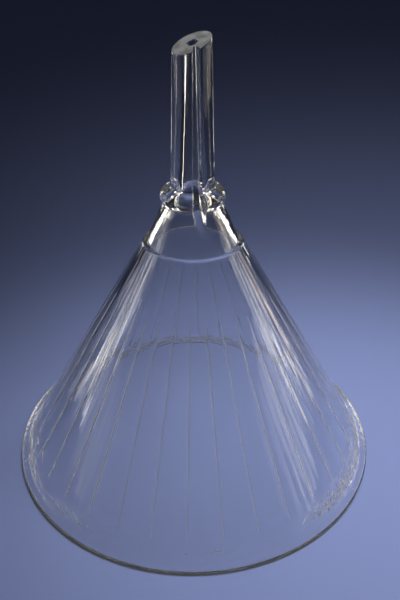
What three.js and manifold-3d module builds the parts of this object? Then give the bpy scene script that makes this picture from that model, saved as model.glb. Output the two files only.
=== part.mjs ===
// A ribbed, pressed-glass funnel, standing upside down on its rim.
// Millimetres, +Z up. The origin is the centre of the mouth, on the plane that the rim stands on,
// and the funnel's axis is the Z axis. The vent groove is near the -Y side.
// The funnel is one piece of glass. Each mesh is one region of it, and neighbouring regions
// meet face to face on level planes.

import * as THREE from 'three';
import * as BufferGeometryUtils from 'three/addons/utils/BufferGeometryUtils.js';
import Module from 'manifold-3d';

const wasm = await Module();
wasm.setup();

const degrees = Math.PI / 180;

// ---------------------------------------------------------------- driving dimensions

const mouthRadius = 75;
const rimProud = 1.2;            // how far the rim bead stands out past the foot of the cone
const rimHeight = 3.2;
const rimArcReach = 60 * degrees; // how far the bead's round edge goes above and below its middle
const rimLandWidth = 1.8;        // the flat ring that the funnel stands on
const rimLandEase = 0.5;         // the small slope between the land and the inner wall

const coneHalfAngle = 30 * degrees;
const wallAtRim = 2.65;          // measured level, not square to the wall
const wallAtStep = 3.6;
const stepHeight = 95.2;
const stepWidth = 1.6;           // level ledge where the neck cone starts

const neckHalfAngle = 22.5 * degrees;
const neckTop = 109.6;

const beadRadius = 12.2;
const beadTop = 116;
const beadArcStart = -75 * degrees; // where the bead's round edge leaves the neck cone

const stemFootRadius = 8.1;
const stemTipRadius = 6.5;
const boreFootRadius = 3.4;
const boreTipRadius = 1.72;
const tipHeight = 165.2;         // of the ground face, on the axis
const tipSlopeX = 0.346;         // rise of the ground face for each millimetre along X
const tipSlopeY = 0.27;          // and along Y

const fluteCount = 32;           // shallow flutes inside the cone, with a fine rib between each two
const fluteStartAzimuth = -1.7 * degrees;
const fluteDepth = 0.35;
const fluteBottom = 8;
const fluteTop = 82;
const fluteRise = 2;             // length over which the flutes deepen at their foot
const fluteFade = 10;            // length over which flutes and ribs fade out at their top
const ribWidth = 0.6;
const ribHeight = 0.3;
const ribRise = 1;               // length over which a rib rises at its foot
const ribSunk = 0.1;             // how far a rib's top end lies under the wall
const ribRoot = 1;               // how far a rib reaches into the wall

const grooveAzimuth = 12.5 * degrees;
const grooveDraft = 14.5 * degrees;
const grooveTipFloor = 3.3;      // distance of the groove's floor from the axis, at the tip
const grooveFootFloor = 6.3;     // and where the groove starts to run out
const grooveTipHalfWidth = 0.5;  // half the width of the floor
const grooveFootHalfWidth = 1.3;
const grooveFoot = 109.8;
const grooveEnd = 104.4;         // height where the groove has run out of the neck cone
const grooveEndFloor = 0.3;      // how far outside the neck cone its floor is by then

const facetsPerFlute = 3;
const segments = fluteCount * facetsPerFlute;
const arcSteps = 6;
const near = 0.01;               // distances under this count as none
const cutBeyond = 4;             // how far cutting bodies reach past what they cut

// ---------------------------------------------------------------- worked-out places

const coneFootRadius = mouthRadius - rimProud;
const outerCone = (z) => coneFootRadius - z * Math.tan(coneHalfAngle);
const innerSlope = Math.tan(coneHalfAngle) + (wallAtStep - wallAtRim) / stepHeight;
const innerCone = (z) => coneFootRadius - wallAtRim - z * innerSlope;

const neckFootRadius = outerCone(stepHeight) - stepWidth;
const neckCone = (z) => neckFootRadius - (z - stepHeight) * Math.tan(neckHalfAngle);

const tipRise = stemTipRadius * Math.hypot(tipSlopeX, tipSlopeY);
const stemTop = tipHeight + tipRise;
const boreRadius = (z) => THREE.MathUtils.mapLinear(z, beadTop, stemTop, boreFootRadius, boreTipRadius);
const throatHeight = (coneFootRadius - wallAtRim - boreRadius(beadTop)) / innerSlope;
const stemRadius = (z) => THREE.MathUtils.mapLinear(z, beadTop, stemTop, stemFootRadius, stemTipRadius);

const grooveFloor = (z) => THREE.MathUtils.mapLinear(
  z, grooveFoot, stemTop, grooveFootFloor, grooveTipFloor,
);
const grooveHalfWidth = (z) => THREE.MathUtils.mapLinear(
  Math.max(z, grooveFoot), grooveFoot, stemTop, grooveFootHalfWidth, grooveTipHalfWidth,
);

// ---------------------------------------------------------------- helpers

// Turns a closed three.js geometry into a manifold solid.
function toSolid(geometry) {
  const bare = geometry.index ? geometry.toNonIndexed() : geometry.clone();
  bare.deleteAttribute('normal');
  bare.deleteAttribute('uv');
  const merged = BufferGeometryUtils.mergeVertices(bare, near * near);
  return new wasm.Manifold(new wasm.Mesh({
    numProp: 3,
    vertProperties: Float32Array.from(merged.attributes.position.array),
    triVerts: Uint32Array.from(merged.index.array),
  }));
}

// Turns a manifold solid back into a three.js geometry.
function toGeometry(solid) {
  const mesh = solid.getMesh();
  const geometry = new THREE.BufferGeometry();
  geometry.setAttribute('position', new THREE.BufferAttribute(mesh.vertProperties, 3));
  geometry.setIndex(new THREE.BufferAttribute(mesh.triVerts, 1));
  geometry.computeVertexNormals();
  return geometry;
}

// Spins an outline of [radius, height] corners, listed anticlockwise, round the Z axis.
// A corner of the facets lies at the azimuth of each rib.
function revolve(outline) {
  const points = [...outline, outline[0]].map(([radius, height]) => new THREE.Vector2(radius, height));
  const geometry = new THREE.LatheGeometry(points, segments, fluteStartAzimuth);
  geometry.rotateX(Math.PI / 2);
  return geometry;
}

// Points of a circular arc in the outline plane, both ends included.
function arc(centreRadius, centreHeight, radius, from, to) {
  const curve = new THREE.EllipseCurve(centreRadius, centreHeight, radius, radius, from, to);
  return curve.getPoints(arcSteps).map((point) => [point.x, point.y]);
}

// Extrudes an outline of [radius, height] corners into a slab with its sides at Y = -1 and +1,
// then multiplies each Y by the half-width that the slab has at that radius and height.
function radialSlab(outline, halfWidth) {
  const shape = new THREE.Shape(outline.map(([radius, height]) => new THREE.Vector2(radius, height)));
  const geometry = new THREE.ExtrudeGeometry(shape, { depth: 2, bevelEnabled: false });
  geometry.translate(0, 0, -1);
  geometry.rotateX(Math.PI / 2);
  const position = geometry.attributes.position;
  for (let i = 0; i < position.count; i += 1) {
    const spread = halfWidth(position.getX(i), position.getZ(i));
    position.setY(i, position.getY(i) * spread);
  }
  return geometry;
}

// Turns a slab made along +X to an azimuth, counted from -Y towards +X.
function turnTo(geometry, azimuth) {
  return geometry.clone().rotateZ(azimuth - Math.PI / 2);
}

// ---------------------------------------------------------------- regions of the glass

// The rounded bead round the mouth, with a flat land on z = 0.
function rimBead() {
  const landInner = innerCone(0) + rimLandEase;
  const half = rimHeight / 2;
  return toSolid(revolve([
    [landInner, 0],
    [landInner + rimLandWidth, 0],
    ...arc(mouthRadius - half, half, half, -rimArcReach, rimArcReach),
    [outerCone(rimHeight), rimHeight],
    [innerCone(rimHeight), rimHeight],
    [innerCone(rimLandEase), rimLandEase],
  ]));
}

// Sinks the inner wall of the spun cone into shallow flutes, between the flutes' two ends.
function sinkFlutes(geometry) {
  const position = geometry.attributes.position;
  for (let i = 0; i < position.count; i += 1) {
    const x = position.getX(i);
    const y = position.getY(i);
    const z = position.getZ(i);
    const radius = Math.hypot(x, y);
    const onInnerWall = radius < innerCone(z) + near;
    const alongFlute = z > fluteBottom + near && z < fluteTop - near;
    const flutesPassed = ((Math.atan2(x, -y) - fluteStartAzimuth) / (2 * Math.PI)) * fluteCount;
    const acrossFlute = flutesPassed - Math.floor(flutesPassed + near);
    if (onInnerWall && alongFlute) {
      const sink = fluteDepth * 4 * acrossFlute * (1 - acrossFlute);
      position.setX(i, x * (1 + sink / radius));
      position.setY(i, y * (1 + sink / radius));
    }
  }
  return geometry;
}

// One rib: a thin fin between two flutes that sinks into the wall at its top.
function ribSlab() {
  const ribFoot = fluteBottom + ribRise;
  const ribHead = fluteTop - fluteFade;
  return radialSlab([
    [innerCone(fluteBottom) + ribRoot, fluteBottom],
    [innerCone(fluteBottom), fluteBottom],
    [innerCone(ribFoot) - ribHeight, ribFoot],
    [innerCone(ribHead) - ribHeight, ribHead],
    [innerCone(fluteTop) + ribSunk, fluteTop],
    [innerCone(fluteTop) + ribRoot, fluteTop],
  ], () => ribWidth / 2);
}

// The cone wall from the rim bead up to the level step, with flutes and ribs inside.
function ribbedCone() {
  const wall = revolve([
    [outerCone(rimHeight), rimHeight],
    [outerCone(stepHeight), stepHeight],
    ...[stepHeight, fluteTop, fluteTop - fluteFade, fluteBottom + fluteRise, fluteBottom, rimHeight]
      .map((z) => [innerCone(z), z]),
  ]);
  let solid = toSolid(sinkFlutes(wall));
  const slab = ribSlab();
  for (let i = 0; i < fluteCount; i += 1) {
    const azimuth = fluteStartAzimuth + (i * 2 * Math.PI) / fluteCount;
    solid = solid.add(toSolid(turnTo(slab, azimuth)));
  }
  return solid;
}

// The vent groove: a drafted channel with a flat floor that runs out at the foot of the neck cone.
function ventGroove() {
  const outside = beadRadius + cutBeyond;
  const top = stemTop + cutBeyond;
  const outline = [
    [grooveFloor(top), top],
    [grooveFloor(grooveFoot), grooveFoot],
    [neckCone(grooveEnd) + grooveEndFloor, grooveEnd],
    [outside, grooveEnd],
    [outside, top],
  ];
  const halfWidth = (radius, z) => {
    const floorRadius = z < grooveFoot ? neckCone(grooveEnd) : grooveFloor(z);
    return grooveHalfWidth(z) + Math.max(0, radius - floorRadius) * Math.tan(grooveDraft);
  };
  return toSolid(turnTo(radialSlab(outline, halfWidth), grooveAzimuth));
}

// The neck cone above the step.
function neckConeRegion() {
  return toSolid(revolve([
    [innerCone(stepHeight), stepHeight],
    [neckCone(stepHeight), stepHeight],
    [neckCone(neckTop), neckTop],
    [innerCone(neckTop), neckTop],
  ]));
}

// The thick bead. The cone's hollow narrows inside it to the foot of the bore.
function neckBead() {
  const half = (beadTop - neckTop) / 2;
  return toSolid(revolve([
    [innerCone(neckTop), neckTop],
    [neckCone(neckTop), neckTop],
    ...arc(beadRadius - half, neckTop + half, half, beadArcStart, Math.PI / 2),
    [stemFootRadius, beadTop],
    [boreRadius(beadTop), beadTop],
    [boreRadius(beadTop), throatHeight],
  ]));
}

// The body above the sloping plane that the stem's tip is ground off along.
function aboveTipFace() {
  const size = 4 * stemFootRadius;
  const body = new THREE.BoxGeometry(size, size, size);
  body.translate(0, 0, size / 2);
  const faceNormal = new THREE.Vector3(-tipSlopeX, -tipSlopeY, 1).normalize();
  body.applyQuaternion(new THREE.Quaternion().setFromUnitVectors(new THREE.Vector3(0, 0, 1), faceNormal));
  body.translate(0, 0, tipHeight);
  return toSolid(body);
}

// The stem, spun a little too long and then ground off.
function stem() {
  const top = stemTop + cutBeyond;
  const blank = toSolid(revolve([
    [boreRadius(beadTop), beadTop],
    [stemRadius(beadTop), beadTop],
    [stemRadius(top), top],
    [boreRadius(top), top],
  ]));
  return blank.subtract(aboveTipFace());
}

// ---------------------------------------------------------------- the funnel

const groove = ventGroove();
const regions = {
  rim_bead: rimBead(),
  ribbed_cone: ribbedCone(),
  neck_cone: neckConeRegion().subtract(groove),
  neck_bead: neckBead().subtract(groove),
  stem: stem().subtract(groove),
};

const funnel = new THREE.Group();
for (const [name, solid] of Object.entries(regions)) {
  const glass = new THREE.MeshStandardMaterial({ color: 0xdde6e4, roughness: 0.05, metalness: 0 });
  const mesh = new THREE.Mesh(toGeometry(solid), glass);
  mesh.name = name;
  funnel.add(mesh);
}

export default funnel;
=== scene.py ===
"""A clear pressed-glass funnel with a fluted cone, standing upside down on its rim.

The glass is one continuous closed mesh, built ring by ring: up the inside of the cone and the
stem's bore, over the ground tip, and down the outside of the stem, the bead, the neck cone and
the fluted cone to the rim. The CAD model holds the same glass as five regions of one body.
Lengths are in metres. Azimuths are counted from -Y towards +X.
"""

import math

import bpy
import numpy as np
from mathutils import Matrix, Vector, noise


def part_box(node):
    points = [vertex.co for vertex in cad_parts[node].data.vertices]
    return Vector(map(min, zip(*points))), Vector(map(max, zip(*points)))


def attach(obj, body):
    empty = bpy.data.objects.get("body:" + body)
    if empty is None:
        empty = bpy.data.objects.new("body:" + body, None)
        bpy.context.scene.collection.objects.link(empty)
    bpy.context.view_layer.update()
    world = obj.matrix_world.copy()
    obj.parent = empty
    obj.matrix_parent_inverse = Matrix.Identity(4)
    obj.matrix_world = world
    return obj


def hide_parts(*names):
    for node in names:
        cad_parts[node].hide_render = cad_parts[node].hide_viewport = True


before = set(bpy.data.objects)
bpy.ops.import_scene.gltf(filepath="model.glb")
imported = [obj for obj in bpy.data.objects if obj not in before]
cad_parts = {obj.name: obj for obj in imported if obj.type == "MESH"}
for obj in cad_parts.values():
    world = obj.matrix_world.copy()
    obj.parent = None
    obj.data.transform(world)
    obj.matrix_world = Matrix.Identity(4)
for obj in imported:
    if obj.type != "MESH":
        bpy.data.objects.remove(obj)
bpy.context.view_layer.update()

MM = 0.001

# ---------------------------------------------------------------- sizes from the frame

mouth_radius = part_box("rim_bead")[1].x
rim_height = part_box("rim_bead")[1].z
cone_rim_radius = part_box("ribbed_cone")[1].x
step_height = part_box("ribbed_cone")[1].z
neck_foot_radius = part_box("neck_cone")[1].x
neck_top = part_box("neck_cone")[1].z
bead_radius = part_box("neck_bead")[1].x
bead_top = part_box("neck_bead")[1].z
stem_foot_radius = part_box("stem")[1].x
stem_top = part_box("stem")[1].z

# ---------------------------------------------------------------- design sizes

CONE_SLOPE = math.tan(math.radians(30))
NECK_SLOPE = math.tan(math.radians(22.5))
WALL_AT_RIM = 2.65 * MM
WALL_AT_STEP = 3.6 * MM
LAND_EASE = 0.7 * MM            # the land's inner edge stands this far inside the wall's foot
WALL_FOOT = 0.9 * MM
RIM_ARC = (66, -78)             # degrees above and below level that the rim bead's round edge spans
BEAD_ARC = (80, -58)

BORE_FOOT = 3.4 * MM
BORE_TIP = 1.72 * MM
STEM_TIP = 6.5 * MM
TIP_HEIGHT = 165.2 * MM
TIP_SLOPE_X = 0.346
TIP_SLOPE_Y = 0.27
TIP_LIFT_START = 6 * MM         # height above the bead where rings start to slope towards the tip

FLUTES = 32
FLUTE_START = math.radians(-1.7)
FLUTE_DEPTH = 0.26 * MM
FLUTE_BOTTOM = 8 * MM
FLUTE_TOP = 83 * MM
FLUTE_FADE = 45 * MM
RIB_HALF_WIDTH = 0.28 * MM
RIB_HEIGHT = 0.14 * MM

GROOVE_AZIMUTH = math.radians(12.5)
GROOVE_DRAFT = math.tan(math.radians(14.5))
GROOVE_FOOT = 109.8 * MM
GROOVE_END = 104.4 * MM
GROOVE_FLOOR_FOOT = 6.3 * MM
GROOVE_FLOOR_TIP = 3.3 * MM
GROOVE_HALF_WIDTH_FOOT = 1.3 * MM
GROOVE_HALF_WIDTH_TIP = 0.5 * MM
GROOVE_MARGIN = 1.3 * MM        # how far the rings' denser points go past the groove's edges
GROOVE_MARGIN_EASE = 0.6 * MM
GROOVE_FLOOR_EASE = 0.8 * MM    # the larger this is, the softer the bend
GROOVE_CORNER_EASE = 0.35 * MM
GROOVE_LIP_EASE = 0.25 * MM

STEM_FOOT_FILLET = 1.1 * MM
BEAD_CREASE_FILLET = 0.5 * MM
STEP_INNER_FILLET = 0.15 * MM
STEP_OUTER_FILLET = 0.75 * MM
RIM_CREASE_FILLET = 0.5 * MM
WALL_FOOT_FILLET = 0.5 * MM
THROAT_FILLET = 4 * MM

WAVE_HEIGHT = 0.085 * MM
WAVE_LENGTH = 3.6 * MM
WAVE_FADE = 6 * MM

# ---------------------------------------------------------------- the mesh's fineness

PER_FLUTE = 16
AROUND = FLUTES * PER_FLUTE
BESIDE_RIB = np.array([0.13, 0.27, 0.46, 0.76]) * MM
BESIDE_RIB_MOST = (0.04, 0.08, 0.12, 0.16)
GROOVE_POINTS = 72
GROOVE_SAMPLES = 1201
BEND_WEIGHT = 0.45 * MM         # a bend of one radian takes as many points as this much length

RUN_AT_GROOVE = 0.55 * MM       # longest distances between rings
RUN_ON_NECK = 5.5 * MM
RUN_ON_CONE = 6 * MM
RUN_UNDER_FLUTES = 1.1 * MM
RUN_AT_FLUTE_FEET = 0.62 * MM
RUN_ON_FLUTES = 4.5 * MM
RUN_ON_FADE = 3.2 * MM
RUN_IN_THROAT = 5 * MM
FLUTE_FEET = 9 * MM             # height of the zone where the flutes' round feet need finer rings


def mix(a, b, t):
    return a + (b - a) * t


def smooth(t):
    t = np.clip(t, 0.0, 1.0)
    return t * t * (3 - 2 * t)


def soft_max(a, b, width):
    """The larger of two values, with the change from one to the other rounded over a width."""
    return 0.5 * (a + b + np.sqrt((a - b) ** 2 + width ** 2))


def soft_min(a, b, width):
    return 0.5 * (a + b - np.sqrt((a - b) ** 2 + width ** 2))


# ---------------------------------------------------------------- plain outlines


def outer_cone(z):
    return cone_rim_radius - (z - rim_height) * CONE_SLOPE


INNER_SLOPE = CONE_SLOPE + (WALL_AT_STEP - WALL_AT_RIM) / step_height


def inner_cone(z):
    return outer_cone(0) - WALL_AT_RIM - z * INNER_SLOPE


def neck_cone(z):
    return neck_foot_radius - (z - step_height) * NECK_SLOPE


def up_the_stem(z):
    """0 at the stem's foot and 1 at its highest point."""
    return (z - bead_top) / (stem_top - bead_top)


def stem_radius(z):
    return mix(stem_foot_radius, STEM_TIP, up_the_stem(z))


def bore_radius(z):
    return mix(BORE_FOOT, BORE_TIP, up_the_stem(z))


def fillet(before, corner, after, size, points):
    """A rounded corner between two straight runs, as (radius, height) points."""
    before, corner, after = Vector(before), Vector(corner), Vector(after)
    start = corner + (before - corner).normalized() * size
    end = corner + (after - corner).normalized() * size
    steps = [k / points for k in range(points + 1)]
    return [tuple(start * (1 - t) ** 2 + corner * 2 * t * (1 - t) + end * t * t) for t in steps]


def arc(centre, radius, start, end, points):
    """Points of a circular arc, as (radius, height), with its angles in degrees."""
    angles = np.radians(np.linspace(start, end, points + 1))
    return [(centre[0] + radius * math.cos(a), centre[1] + radius * math.sin(a)) for a in angles]


def filled(outline, longest):
    """The outline with every run longer than longest(height) split evenly."""
    out = [outline[0]]
    for a, b in zip(outline, outline[1:]):
        parts = max(1, math.ceil(math.dist(a, b) / longest(min(a[1], b[1])) - 0.01))
        out += [(mix(a[0], b[0], k / parts), mix(a[1], b[1], k / parts)) for k in range(1, parts + 1)]
    return out


def stem_outline():
    """The outside of the stem, from the ground tip down to just above the bead."""
    heights = np.concatenate([
        [TIP_HEIGHT - 0.14 * MM, TIP_HEIGHT - 0.5 * MM],
        np.linspace(TIP_HEIGHT - 4 * MM, bead_top + 3 * MM, 14),
    ])
    return [(stem_radius(z), z) for z in heights]


def bead_outline():
    """The foot of the stem, the bead and the crease under it."""
    half = (bead_top - neck_top) / 2
    centre = (bead_radius - half, neck_top + half)
    bulge = arc(centre, half, *BEAD_ARC, 16)
    above = (stem_radius(bead_top + 3 * MM), bead_top + 3 * MM)
    junction = fillet(above, (stem_foot_radius, bead_top), bulge[0], STEM_FOOT_FILLET, 5)
    below = (neck_cone(neck_top - 3 * MM), neck_top - 3 * MM)
    crease_height = neck_top + 0.1 * MM
    corner = (neck_cone(crease_height), crease_height)
    crease = fillet(bulge[-1], corner, below, BEAD_CREASE_FILLET, 4)
    return junction[:-1] + bulge[:-1] + crease


def step_outline():
    """The ledge between the neck cone and the fluted cone, with a well rounded outer edge."""
    above = (neck_cone(step_height + 3 * MM), step_height + 3 * MM)
    inner = (neck_foot_radius, step_height)
    outer = (outer_cone(step_height), step_height)
    below = (outer_cone(step_height - 3 * MM), step_height - 3 * MM)
    inner_corner = fillet(above, inner, outer, STEP_INNER_FILLET, 3)
    outer_corner = fillet(inner, outer, below, STEP_OUTER_FILLET, 6)
    return inner_corner + outer_corner


def rim_outline():
    """The foot of the cone and the rim bead, down to the outer edge of the land."""
    half = rim_height / 2
    bulge = arc((mouth_radius - half, half), half, *RIM_ARC, 15)
    above = (outer_cone(rim_height + 4 * MM), rim_height + 4 * MM)
    crease = (outer_cone(rim_height), rim_height)
    return fillet(above, crease, bulge[0], RIM_CREASE_FILLET, 4) + bulge[1:]


def outside_outline():
    """From the tip down the stem, the bead, the neck cone and the fluted cone to the land."""

    def longest_on_neck(z):
        return RUN_AT_GROOVE if z > GROOVE_END - MM else RUN_ON_NECK

    neck = filled(bead_outline()[-1:] + step_outline(), longest_on_neck)
    cone = filled(neck[-1:] + rim_outline(), lambda z: RUN_ON_CONE)
    return stem_outline() + bead_outline() + neck[1:] + cone[1:]


def inside_outline():
    """From the inner edge of the land up to the bore's foot."""
    throat = (outer_cone(0) - WALL_AT_RIM - BORE_FOOT) / INNER_SLOPE
    land = (inner_cone(0) + LAND_EASE, 0.0)
    wall_foot = (inner_cone(WALL_FOOT), WALL_FOOT)
    throat_corner = (BORE_FOOT, throat)
    below = (inner_cone(throat - 8 * MM), throat - 8 * MM)
    above = (BORE_FOOT, throat + 8 * MM)
    foot = [land] + fillet(land, wall_foot, below, WALL_FOOT_FILLET, 4)
    feet_end = FLUTE_BOTTOM + FLUTE_FEET
    fade_start = FLUTE_TOP - FLUTE_FADE

    def longest(z):
        if z < FLUTE_BOTTOM - 0.5 * MM:
            return RUN_UNDER_FLUTES
        if z < feet_end:
            return RUN_AT_FLUTE_FEET
        if fade_start - 5 * MM <= z <= FLUTE_TOP:
            return RUN_ON_FADE
        return RUN_ON_FLUTES

    stations = [FLUTE_BOTTOM - 0.4 * MM, feet_end, fade_start - 4 * MM, FLUTE_TOP + MM]
    wall = filled([foot[-1]] + [(inner_cone(z), z) for z in stations], longest)
    throat_curve = fillet(below, throat_corner, above, THROAT_FILLET, 7)
    throat_run = filled([wall[-1]] + throat_curve, lambda z: RUN_IN_THROAT)
    return foot + wall[1:] + throat_run[1:]


def bore_outline():
    """Up the bore, from above the throat to just under the ground face."""
    heights = np.concatenate([
        np.linspace(bead_top + 8 * MM, TIP_HEIGHT - 4 * MM, 7),
        [TIP_HEIGHT - 0.5 * MM, TIP_HEIGHT - 0.12 * MM],
    ])
    return [(bore_radius(z), z) for z in heights]


# ---------------------------------------------------------------- rings round the axis


def up_the_groove(z):
    """0 up to where the groove starts to run out and 1 at the stem's highest point."""
    return max(0.0, (z - GROOVE_FOOT) / (stem_top - GROOVE_FOOT))


def groove_floor(z):
    """Distance of the groove's floor from the axis: less up the stem, and running out below it."""
    run_out = (neck_cone(GROOVE_END) - GROOVE_FLOOR_FOOT) / (GROOVE_FOOT - GROOVE_END)
    stem_floor = mix(GROOVE_FLOOR_FOOT, GROOVE_FLOOR_TIP, up_the_groove(z))
    return soft_max(stem_floor, GROOVE_FLOOR_FOOT + (GROOVE_FOOT - z) * run_out, GROOVE_FLOOR_EASE)


def groove_ring(radius, z):
    """Azimuths and distances of a ring that the vent groove notches."""
    half_width = mix(GROOVE_HALF_WIDTH_FOOT, GROOVE_HALF_WIDTH_TIP, up_the_groove(z))
    floor = groove_floor(z)
    depth = max(radius - floor, 0.0)
    side = half_width + depth * GROOVE_DRAFT + GROOVE_MARGIN
    across = np.linspace(-side, side, GROOVE_SAMPLES)
    circle = np.sqrt(radius ** 2 - across ** 2)
    wall = floor + (np.abs(across) - half_width) / GROOVE_DRAFT
    cut = soft_max(floor, wall, GROOVE_CORNER_EASE)
    lip = GROOVE_LIP_EASE * min(1.0, depth / MM) + 1e-6 * MM
    to_circle = smooth((np.abs(across) - side) / GROOVE_MARGIN_EASE + 1)
    line = mix(soft_min(circle, cut, lip), circle, to_circle)
    run = np.hypot(np.diff(across), np.diff(line))
    heading = np.arctan2(np.diff(line), np.diff(across))
    bend = np.abs(np.diff(heading, prepend=heading[0]))
    weight = np.concatenate([[0], np.cumsum(run + BEND_WEIGHT * bend)])
    places = np.interp(np.linspace(0, weight[-1], GROOVE_POINTS), weight, np.arange(GROOVE_SAMPLES))
    across = np.interp(places, np.arange(GROOVE_SAMPLES), across)
    line = np.interp(places, np.arange(GROOVE_SAMPLES), line)
    azimuth = GROOVE_AZIMUTH + np.arctan2(across, line)
    rest = AROUND - GROOVE_POINTS
    gap = 2 * math.pi - (azimuth[-1] - azimuth[0])
    azimuth = np.concatenate([azimuth, azimuth[-1] + gap * np.arange(1, rest + 1) / (rest + 1)])
    distance = np.concatenate([np.hypot(across, line), np.full(rest, radius)])
    return azimuth, distance


def flute_shares(radius):
    """Places of the points across one flute, from rib to rib, as shares of its width."""
    width = 2 * math.pi * radius / FLUTES
    beside_rib = np.minimum(BESIDE_RIB / width, BESIDE_RIB_MOST)
    middle = np.linspace(beside_rib[-1], 1 - beside_rib[-1], PER_FLUTE - 7)[1:-1]
    return np.concatenate([[0], beside_rib, middle, 1 - beside_rib[::-1]])


def plain_azimuths(radius):
    """Azimuths that follow the flutes, starting one flute before the first."""
    turns = np.arange(-1, FLUTES - 1)[:, None] + flute_shares(radius)[None, :]
    return FLUTE_START + turns.ravel() * 2 * math.pi / FLUTES


def flute_sink(radius, z):
    """How far the fluted wall stands outside the plain inner cone, round one ring."""
    share = flute_shares(radius)
    half = math.pi * radius / FLUTES
    from_rib = np.minimum(share, 1 - share) * 2 * half
    fade = float(smooth((FLUTE_TOP - z) / FLUTE_FADE))
    up = min(max((z - FLUTE_BOTTOM) / (0.75 * half), 0.0), 1.0)
    open_half = half * math.sqrt(1 - (1 - up) ** 2)
    if open_half > 0:
        across = np.clip((half - from_rib) / open_half, 0, 1)
        flute = FLUTE_DEPTH * fade * (1 - across ** 2) ** 0.75 * min(1.0, 0.35 + up)
    else:
        flute = np.zeros_like(share)
    rib = RIB_HEIGHT * fade * float(smooth((z - FLUTE_BOTTOM) / (1.5 * MM)))
    return np.tile(flute - rib * np.exp(-(from_rib / RIB_HALF_WIDTH) ** 2), FLUTES)


def waviness(x, y, z):
    """The unevenness of the pressed wall below the flutes."""
    strength = WAVE_HEIGHT * float(1 - smooth((z - FLUTE_BOTTOM) / WAVE_FADE))
    if strength <= 0 or z < 0.5 * MM:
        return np.zeros_like(x)
    places = np.stack([x, y, np.full_like(x, z)], axis=1)
    return strength * np.array([noise.noise(Vector(p) / WAVE_LENGTH) for p in places])


def lift_to_tip(x, y, z, radius_at):
    """Slopes a ring of the stem so that the last one lies in the ground face."""
    start = bead_top + TIP_LIFT_START
    share = min(max((z - start) / (TIP_HEIGHT - start), 0.0), 1.0)
    heights = z + share * (TIP_SLOPE_X * x + TIP_SLOPE_Y * y)
    shrink = radius_at(heights) / radius_at(z) if share > 0 else np.ones_like(x)
    return np.stack([x * shrink, y * shrink, heights], axis=1)


def inside_rings():
    """Rings of points from the land up the fluted wall, the throat and the bore."""
    tip_azimuths = groove_ring(stem_radius(TIP_HEIGHT), TIP_HEIGHT)[0]
    rings = []
    for radius, z in inside_outline():
        azimuth = plain_azimuths(radius)
        distance = radius + flute_sink(radius, z)
        x, y = distance * np.sin(azimuth), -distance * np.cos(azimuth)
        wave = 1 + waviness(x, y, z) / radius
        rings.append(np.stack([x * wave, y * wave, np.full_like(x, z)], axis=1))
    for radius, z in bore_outline():
        share = float(smooth((z - bead_top) / (TIP_HEIGHT - bead_top)))
        azimuth = mix(plain_azimuths(radius), tip_azimuths, share)
        x, y = radius * np.sin(azimuth), -radius * np.cos(azimuth)
        rings.append(lift_to_tip(x, y, z, bore_radius))
    return rings


def outside_rings():
    """Rings of points from the tip down to the land."""
    rings = []
    for radius, z in outside_outline():
        azimuth, distance = groove_ring(radius, z)
        share = float(smooth(z / step_height))
        azimuth = mix(plain_azimuths(radius), azimuth, share) if z < step_height else azimuth
        x, y = distance * np.sin(azimuth), -distance * np.cos(azimuth)
        if z > bead_top:
            rings.append(lift_to_tip(x, y, z, stem_radius))
        else:
            rings.append(np.stack([x, y, np.full_like(x, z)], axis=1))
    return rings


def tip_rings(bore_edge, stem_edge):
    """The ground face, between the bore's edge and the stem's edge, with both edges eased."""
    inner = bore_edge * [1.05, 1.05, 1]
    outer = stem_edge * [0.985, 0.985, 1]
    rings = [mix(inner, outer, share) for share in (0, 0.04, 0.3, 0.65, 0.96, 1)]
    for ring in rings:
        ring[:, 2] = TIP_HEIGHT + TIP_SLOPE_X * ring[:, 0] + TIP_SLOPE_Y * ring[:, 1]
    return rings


# The last kind, the rim bead's underside, carries a painted cream reflection.
CLEAR, GROUND, CREST, PAINTED_CREAM = range(4)    # the order of the mesh's materials
CREST_TOP = FLUTE_TOP - 11 * MM          # above this the ribs are too faint to have worn crests
# The painted cream reflection covers the rim bead's underside below this height.
PAINTED_CREAM_TOP = 0.35 * rim_height


def glass_mesh():
    """The whole funnel as one closed mesh."""
    inside = inside_rings()
    outside = outside_rings()
    tip = tip_rings(inside[-1], outside[0])
    rings = inside + tip + outside
    points = np.concatenate(rings)
    column = np.arange(AROUND)
    beside = (column + 1) % AROUND
    faces = []
    for row in range(len(rings)):
        here = row * AROUND
        above = (row + 1) % len(rings) * AROUND
        faces.append(np.stack([here + column, above + column, above + beside, here + beside], axis=1))
    faces = np.concatenate(faces)
    mesh = bpy.data.meshes.new("funnel_glass")
    mesh.from_pydata(points.tolist(), [], faces.tolist())
    mesh.validate()
    mesh.polygons.foreach_set("material_index", surface_kinds(rings, len(inside), len(tip)))
    mesh.polygons.foreach_set("use_smooth", np.ones(len(faces), dtype=bool))
    mesh.update()
    return mesh


def surface_kinds(rings, inside_count, tip_count):
    """The kind of surface of each face, in the order that glass_mesh makes the faces."""
    kind = np.full((len(rings), AROUND), CLEAR, dtype=np.int32)
    tip_end = inside_count + tip_count
    kind[inside_count:tip_end - 1] = GROUND
    heights = np.array([ring[:, 2].max() for ring in rings])
    row = np.arange(len(rings))
    column = np.arange(AROUND)
    fluted = (row < inside_count) & (heights > FLUTE_BOTTOM) & (heights < CREST_TOP)
    crest = (column % PER_FLUTE == 0) | (column % PER_FLUTE == PER_FLUTE - 1)
    kind[np.ix_(fluted, crest)] = CREST
    # The rim bead's underside gets the painted cream reflection.
    under_rim = (row > tip_end) & (heights < PAINTED_CREAM_TOP)
    kind[under_rim[:-1].nonzero()[0]] = PAINTED_CREAM
    return kind.ravel()


# ---------------------------------------------------------------- materials


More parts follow.
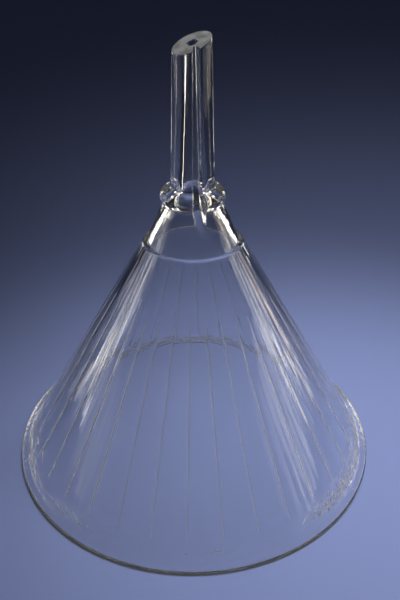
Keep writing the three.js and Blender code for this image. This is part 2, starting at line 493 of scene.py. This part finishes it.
class Shader:
    """A material's node tree, with short calls to add and join nodes."""

    def __init__(self, name):
        self.material = bpy.data.materials.new(name)
        self.material.use_nodes = True
        self.tree = self.material.node_tree
        self.tree.nodes.clear()
        self.output = self.add("ShaderNodeOutputMaterial")

    def add(self, kind, **values):
        node = self.tree.nodes.new(kind)
        for name, value in values.items():
            if hasattr(node, name):
                setattr(node, name, value)
            else:
                node.inputs[name.replace("_", " ")].default_value = value
        return node

    def join(self, source, target):
        self.tree.links.new(source, target)


GLASS_IOR = 1.51
CLEAR_COLOUR = (0.965, 0.967, 0.97)
GROUND_COLOUR = (0.80, 0.82, 0.84)
CREST_COLOUR = (1.0, 0.99, 0.95)
# Cream painted on the rim bead's underside, standing in for warm room light reflected inside the glass.
PAINTED_CREAM_COLOUR = (0.98, 0.92, 0.74)
TINT_COLOUR = (0.82, 0.80, 0.70)
TINT_DENSITY = 16
CLOTH_COLOUR = (0.395, 0.48, 0.90)

CRINKLE_HEIGHT = 0.55 * MM
LINE_HEIGHT = 0.045 * MM
LINES_CHANGE = 75 * MM          # coarse lines above this height and fine lines under it
COARSE_LINES = 13               # scales of the noise round the axis
FINE_LINES = 30


NOISE_SPREAD = (0.35, 0.65)     # noise rarely leaves this range


def noise_value(shader, scale, low, high, detail=2.0):
    """Noise in object space, spread between low and high."""
    place = shader.add("ShaderNodeTexCoord")
    grain = shader.add("ShaderNodeTexNoise")
    grain.inputs["Scale"].default_value = scale
    grain.inputs["Detail"].default_value = detail
    shader.join(place.outputs["Object"], grain.inputs["Vector"])
    return map_range(shader, grain.outputs["Fac"], NOISE_SPREAD, (low, high))


def map_range(shader, source, from_range, to_range):
    """A value moved from one range to another, and kept inside it."""
    span = shader.add("ShaderNodeMapRange")
    span.inputs["From Min"].default_value, span.inputs["From Max"].default_value = from_range
    span.inputs["To Min"].default_value, span.inputs["To Max"].default_value = to_range
    shader.join(source, span.inputs["Value"])
    return span.outputs["Result"]


def above(shader, height, blend):
    """1 over a height above the floor and 0 under it."""
    return below(shader, height, -blend)


def below(shader, height, blend):
    """1 under a height above the floor and 0 over it."""
    place = shader.add("ShaderNodeTexCoord")
    split = shader.add("ShaderNodeSeparateXYZ")
    shader.join(place.outputs["Object"], split.inputs["Vector"])
    return map_range(shader, split.outputs["Z"], (height - blend, height + blend), (1.0, 0.0))


def product(shader, *sources):
    """The product of any number of values."""
    result = sources[0]
    for source in sources[1:]:
        times = shader.add("ShaderNodeMath", operation="MULTIPLY")
        shader.join(result, times.inputs[0])
        shader.join(source, times.inputs[1])
        result = times.outputs[0]
    return result


def bumped(shader, height, distance, glass):
    """Gives a glass the small relief that a height value, from 0 to 1, stands for."""
    bump = shader.add("ShaderNodeBump")
    bump.inputs["Distance"].default_value = distance
    shader.join(height, bump.inputs["Height"])
    shader.join(bump.outputs["Normal"], glass.inputs["Normal"])


def principled_glass(shader, colour, roughness):
    glass = shader.add("ShaderNodeBsdfPrincipled")
    glass.inputs["Base Color"].default_value = (*colour, 1)
    glass.inputs["Transmission Weight"].default_value = 1.0
    glass.inputs["IOR"].default_value = GLASS_IOR
    glass.inputs["Roughness"].default_value = roughness
    return glass


def lets_light_through(shader, glass, slant_light=0.75):
    """Shows the glass, but lets the light of lamps and of the floor pass straight through it.

    Where the glass stands at a slant to the light, only slant_light of it passes.
    """
    light_path = shader.add("ShaderNodeLightPath")
    straight = shader.add("ShaderNodeMath", operation="MAXIMUM")
    shader.join(light_path.outputs["Is Shadow Ray"], straight.inputs[0])
    shader.join(light_path.outputs["Is Diffuse Ray"], straight.inputs[1])
    slant = shader.add("ShaderNodeLayerWeight")
    slant.inputs["Blend"].default_value = 0.12
    shade = shader.add("ShaderNodeMixRGB")
    shade.inputs["Color1"].default_value = (1, 1, 1, 1)
    shade.inputs["Color2"].default_value = (slant_light, slant_light, slant_light, 1)
    shader.join(slant.outputs["Facing"], shade.inputs["Fac"])
    clear = shader.add("ShaderNodeBsdfTransparent")
    shader.join(shade.outputs["Color"], clear.inputs["Color"])
    either = shader.add("ShaderNodeMixShader")
    shader.join(straight.outputs[0], either.inputs[0])
    shader.join(glass.outputs[0], either.inputs[1])
    shader.join(clear.outputs[0], either.inputs[2])
    shader.join(either.outputs[0], shader.output.inputs["Surface"])
    tinted(shader)
    return shader.material


def tinted(shader):
    """The faint warm tint that shows where light runs far through the glass."""
    tint = shader.add("ShaderNodeVolumeAbsorption")
    tint.inputs["Color"].default_value = (*TINT_COLOUR, 1)
    tint.inputs["Density"].default_value = TINT_DENSITY
    shader.join(tint.outputs[0], shader.output.inputs["Volume"])


def turn(shader):
    """The direction from the axis, level and of length 1."""
    place = shader.add("ShaderNodeTexCoord")
    level = shader.add("ShaderNodeVectorMath", operation="MULTIPLY")
    level.inputs[1].default_value = (1, 1, 0)
    unit = shader.add("ShaderNodeVectorMath", operation="NORMALIZE")
    shader.join(place.outputs["Object"], level.inputs[0])
    shader.join(level.outputs[0], unit.inputs[0])
    return unit.outputs[0]


def round_noise(shader, scale):
    """Noise round the axis, the same at every height, so that it makes lines down the cone."""
    grain = shader.add("ShaderNodeTexNoise")
    grain.inputs["Scale"].default_value = scale
    grain.inputs["Detail"].default_value = 1.0
    shader.join(turn(shader), grain.inputs["Vector"])
    return grain.outputs["Fac"]


def near_seams(shader):
    """1 near the mould's two seams, which are at the sides, and a little at the front and back."""
    split = shader.add("ShaderNodeSeparateXYZ")
    aside = shader.add("ShaderNodeMath", operation="ABSOLUTE")
    shader.join(turn(shader), split.inputs["Vector"])
    shader.join(split.outputs["X"], aside.inputs[0])
    return map_range(shader, aside.outputs[0], (0.40, 0.75), (0.12, 1.0))


def crinkles(shader):
    """The crinkled skin of the glass, in patches between the rim bead and the flutes."""
    fine = noise_value(shader, 420, 0.0, 1.0, detail=3.0)
    patches = noise_value(shader, 26, 0.0, 1.0)
    under_flutes = below(shader, FLUTE_BOTTOM - MM, 2 * MM)
    return product(shader, fine, patches, under_flutes, above(shader, rim_height, MM))


def drawn_lines(shader):
    """Faint lines down the neck and the cone, strongest near the mould's seams."""
    blend = 15 * MM
    over = above(shader, LINES_CHANGE, blend)
    under = below(shader, LINES_CHANGE, blend)
    on_neck = below(shader, neck_top, 0.5 * MM)
    on_flutes = above(shader, FLUTE_BOTTOM, 4 * MM)
    lines = shader.add("ShaderNodeMath", operation="ADD")
    shader.join(product(shader, round_noise(shader, COARSE_LINES), over, on_neck), lines.inputs[0])
    shader.join(product(shader, round_noise(shader, FINE_LINES), under, on_flutes), lines.inputs[1])
    return product(shader, lines.outputs[0], near_seams(shader))


def clear_glass():
    """Smooth pressed glass, lined down the cone and crinkled in patches below the flutes."""
    shader = Shader("clear_glass")
    glass = principled_glass(shader, CLEAR_COLOUR, 0.015)
    relief = shader.add("ShaderNodeMath", operation="MULTIPLY_ADD")
    relief.inputs[1].default_value = LINE_HEIGHT / CRINKLE_HEIGHT
    shader.join(drawn_lines(shader), relief.inputs[0])
    shader.join(crinkles(shader), relief.inputs[2])
    bumped(shader, relief.outputs[0], CRINKLE_HEIGHT, glass)
    return lets_light_through(shader, glass)


def ground_glass():
    """The matt grey face where the stem's tip was ground off."""
    shader = Shader("ground_glass")
    glass = principled_glass(shader, GROUND_COLOUR, 0.40)
    shader.join(noise_value(shader, 300, 0.70, 0.85), glass.inputs["Transmission Weight"])
    bumped(shader, noise_value(shader, 2600, 0.0, 1.0), 0.06 * MM, glass)
    return lets_light_through(shader, glass)


def crest_glass():
    """The worn crests of the fine ribs, which catch the light in dashes."""
    shader = Shader("rib_crest_glass")
    glass = principled_glass(shader, CREST_COLOUR, 0.35)
    lower_cone = below(shader, 0.85 * FLUTE_TOP, 0.12 * FLUTE_TOP)
    dashes = product(shader, noise_value(shader, 330, 0.15, 1.0), lower_cone)
    clearness = map_range(shader, dashes, (0.0, 1.0), (1.0, 0.25))
    shine = map_range(shader, dashes, (0.0, 1.0), (0.0, 0.15))
    shader.join(clearness, glass.inputs["Transmission Weight"])
    shader.join(shine, glass.inputs["Metallic"])
    bumped(shader, noise_value(shader, 1500, 0.0, 1.0), 0.08 * MM, glass)
    return lets_light_through(shader, glass)


def painted_cream_glass():
    """A painted cream reflection on the underside of the rim bead, standing in for warm room light
    reflected inside the glass; it shows as a line along its foot.
    """
    shader = Shader("painted_cream_glass")
    glass = principled_glass(shader, PAINTED_CREAM_COLOUR, 0.25)
    shader.join(noise_value(shader, 600, 0.45, 0.80), glass.inputs["Transmission Weight"])
    return lets_light_through(shader, glass, slant_light=0.05)


def floor_cloth():
    """Plain pale blue, and matt, so that the panels beside it leave no sheen on it."""
    shader = Shader("floor")
    surface = shader.add("ShaderNodeBsdfPrincipled")
    surface.inputs["Base Color"].default_value = (*CLOTH_COLOUR, 1)
    surface.inputs["Roughness"].default_value = 0.8
    surface.inputs["Specular IOR Level"].default_value = 0.0
    shader.join(surface.outputs[0], shader.output.inputs["Surface"])
    return shader.material


# ---------------------------------------------------------------- the funnel


def show(name, mesh, *materials):
    """Adds a mesh to the scene with its materials."""
    piece = bpy.data.objects.new(name, mesh)
    bpy.context.scene.collection.objects.link(piece)
    for material in materials:
        mesh.materials.append(material)
    return piece


funnel = show(
    "funnel_glass", glass_mesh(), clear_glass(), ground_glass(), crest_glass(), painted_cream_glass(),
)
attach(funnel, "root")
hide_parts("rim_bead", "ribbed_cone", "neck_cone", "neck_bead", "stem")

# ---------------------------------------------------------------- the floor

FLOOR_RADIUS = 6.0
UNDER_THE_LAND = 0.05 * MM      # keeps the floor and the land from lying in the same plane


def disc(radius, corners=96):
    """A flat round mesh on the plane z = 0."""
    mesh = bpy.data.meshes.new("floor")
    turns = [k / corners * 2 * math.pi for k in range(corners)]
    points = [(radius * math.cos(a), radius * math.sin(a), 0) for a in turns]
    mesh.from_pydata(points, [], [range(corners)])
    return mesh


floor = show("floor", disc(FLOOR_RADIUS), floor_cloth())
floor.location.z = -UNDER_THE_LAND

# ---------------------------------------------------------------- light that shows in the glass

DAYLIGHT = (1.0, 0.97, 0.91)
WARM_WHITE = (1.0, 0.93, 0.80)
ORANGE = (1.0, 0.72, 0.42)
RIGHT, LEFT = 1, -1


def soft_panel(name, place, target, width, height, radiance, colour):
    """A rectangular soft light that shows in the glass and leaves the camera and floor alone."""
    data = bpy.data.lights.new(name, "AREA")
    data.shape = "RECTANGLE"
    data.size = width
    data.size_y = height
    data.energy = radiance * math.pi * width * height
    data.color = colour
    light = aimed(name, data, place, target)
    light.visible_camera = False
    light.visible_diffuse = False


def aimed(name, data, place, target):
    """Adds a light to the scene, facing its target."""
    light = bpy.data.objects.new(name, data)
    light.location = place
    light.rotation_euler = (Vector(target) - Vector(place)).to_track_quat("-Z", "Y").to_euler()
    bpy.context.scene.collection.objects.link(light)
    return light


def side_panel(name, side, distance, along, heights, radiance, colour=DAYLIGHT):
    """An upright soft panel beside the funnel, between two places along Y and two heights."""
    width = along[1] - along[0]
    height = heights[1] - heights[0]
    place = Vector((side * distance, sum(along) / 2, sum(heights) / 2))
    soft_panel(name, place, place - Vector((side, 0, 0)), width, height, radiance, colour)


WINDOW_DISTANCE = 0.60
WINDOW_BASE = 0.115
WINDOW_TOP = 0.40
SILL_BASE = 0.015
SILL_SHARE = 0.9
CEILING_RADIANCE = 0.12
EDGE_DISTANCE = 0.30
EDGE_RADIANCE = 2.4
WINDOW_STRIPS = (               # near end, far end and share of the window's brightness
    (-0.020, 0.000, 0.30), (0.015, 0.045, 1.00), (0.090, 0.115, 0.95), (0.165, 0.200, 0.80),
    (0.255, 0.280, 0.60), (0.390, 0.410, 0.40), (0.440, 0.480, 0.35), (0.600, 0.900, 1.20),
)
EDGE_STEPS = (                  # near end, foot, far end and top
    (0.005, 0.085, 0.030, 0.110), (0.030, 0.055, 0.055, 0.085),
    (0.055, 0.030, 0.080, 0.055), (0.075, 0.000, 0.100, 0.030),
)
LEFT_FRONT_SHARE = 0.35
FRONT_STRIPS = (                # near end, far end and brightness
    (-0.34, -0.28, 0.7), (-0.25, -0.22, 1.2), (-0.20, -0.15, 1.5), (-0.13, -0.11, 1.0),
    (-0.09, -0.05, 1.4),
)


def window(name, side, radiance):
    """A window of upright strips, dimmer below its sill, for the streaks down the cone."""
    for number, (near, far, share) in enumerate(WINDOW_STRIPS):
        along = (near, far)
        panes = (WINDOW_BASE, WINDOW_TOP)
        under_sill = (SILL_BASE, WINDOW_BASE)
        strip = radiance * share
        side_panel(f"{name}_window_{number}", side, WINDOW_DISTANCE, along, panes, strip)
        side_panel(f"{name}_sill_{number}", side, WINDOW_DISTANCE, along, under_sill, SILL_SHARE * strip)


def window_edge(name, side):
    """A slanting row of small panels, for the bright lines down the stem."""
    for near, foot, far, top in EDGE_STEPS:
        side_panel(f"{name}_edge", side, EDGE_DISTANCE, (near, far), (foot, top), EDGE_RADIANCE, WARM_WHITE)


def front_strips():
    """Weak strips nearer the camera, for the haze on the lower cone."""
    for near, far, radiance in FRONT_STRIPS:
        along = (near, far)
        dimmer = LEFT_FRONT_SHARE * radiance
        side_panel("right_front", RIGHT, WINDOW_DISTANCE, along, (0.0, 0.20), radiance)
        side_panel("left_front", LEFT, WINDOW_DISTANCE, along, (0.0, 0.16), dimmer)


def warm_surface():
    """A warm upright surface between two strips of the right window, for the streaks' orange edge."""
    side_panel("wood", RIGHT, WINDOW_DISTANCE, (0.27, 0.31), (0.0, WINDOW_TOP), 4.5, ORANGE)


def ceiling():
    """A dim panel overhead, for the faint lines along the rim and the ledge."""
    place = (0, 0.1, 1.0)
    size = 0.7
    soft_panel("ceiling", place, (0, 0, 0), size, size, CEILING_RADIANCE, DAYLIGHT)


for side, name, radiance in ((RIGHT, "right", 4.2), (LEFT, "left", 3.9)):
    window(name, side, radiance)
    window_edge(name, side)
front_strips()
warm_surface()
ceiling()

# ---------------------------------------------------------------- light on the floor

SPOT_RADIUS = 0.04


def floor_spot(name, place, target, angle, power):
    """A round spot whose pool of light fades out softly, with no glint of its own in the glass."""
    data = bpy.data.lights.new(name, "SPOT")
    data.spot_size = math.radians(angle)
    data.spot_blend = 1.0
    data.shadow_soft_size = SPOT_RADIUS
    data.energy = power
    light = aimed(name, data, place, target)
    light.visible_glossy = False
    light.visible_transmission = False


# The floor is brightest at the front right, and fades into the dark behind the stem.
floor_spot("pool", (0.10, -0.083, 0.388), (0.22, 0.146, 0), 121, 1.6)
floor_spot("near_pool", (0.043, 0.005, 0.334), (0.041, -0.056, 0), 76, 1.2)
floor_spot("key", (0.285, 0.08, 0.54), (0.05, 0.0, 0), 45, 1.75)

# ---------------------------------------------------------------- room and camera

# Light runs far inside the wall of a glass before it comes out at an edge.
cycles = bpy.context.scene.cycles
cycles.max_bounces = 32
cycles.transmission_bounces = 32
cycles.glossy_bounces = 24

ROOM_COLOUR = (0.0185, 0.0185, 0.021)
world = bpy.data.worlds.new("dim room")
world.use_nodes = True
world.node_tree.nodes["Background"].inputs["Color"].default_value = (*ROOM_COLOUR, 1)
bpy.context.scene.world = world
bpy.context.scene.view_settings.view_transform = "Standard"

CAMERA_PLACE = (2.6 * MM, -232.7 * MM, 207.2 * MM)
CAMERA_DIP = math.radians(30.8)  # how far below level it looks
LENS = 41.17                     # focal length and sensor width, in millimetres
SENSOR_WIDTH = 36

camera_data = bpy.data.cameras.new("camera")
camera_data.lens = LENS
camera_data.sensor_width = SENSOR_WIDTH
camera_data.clip_start = 0.01
camera_data.clip_end = 50
camera = bpy.data.objects.new("camera", camera_data)
camera.location = CAMERA_PLACE
camera.rotation_euler = (math.pi / 2 - CAMERA_DIP, 0, 0)
bpy.context.scene.collection.objects.link(camera)
bpy.context.scene.camera = camera
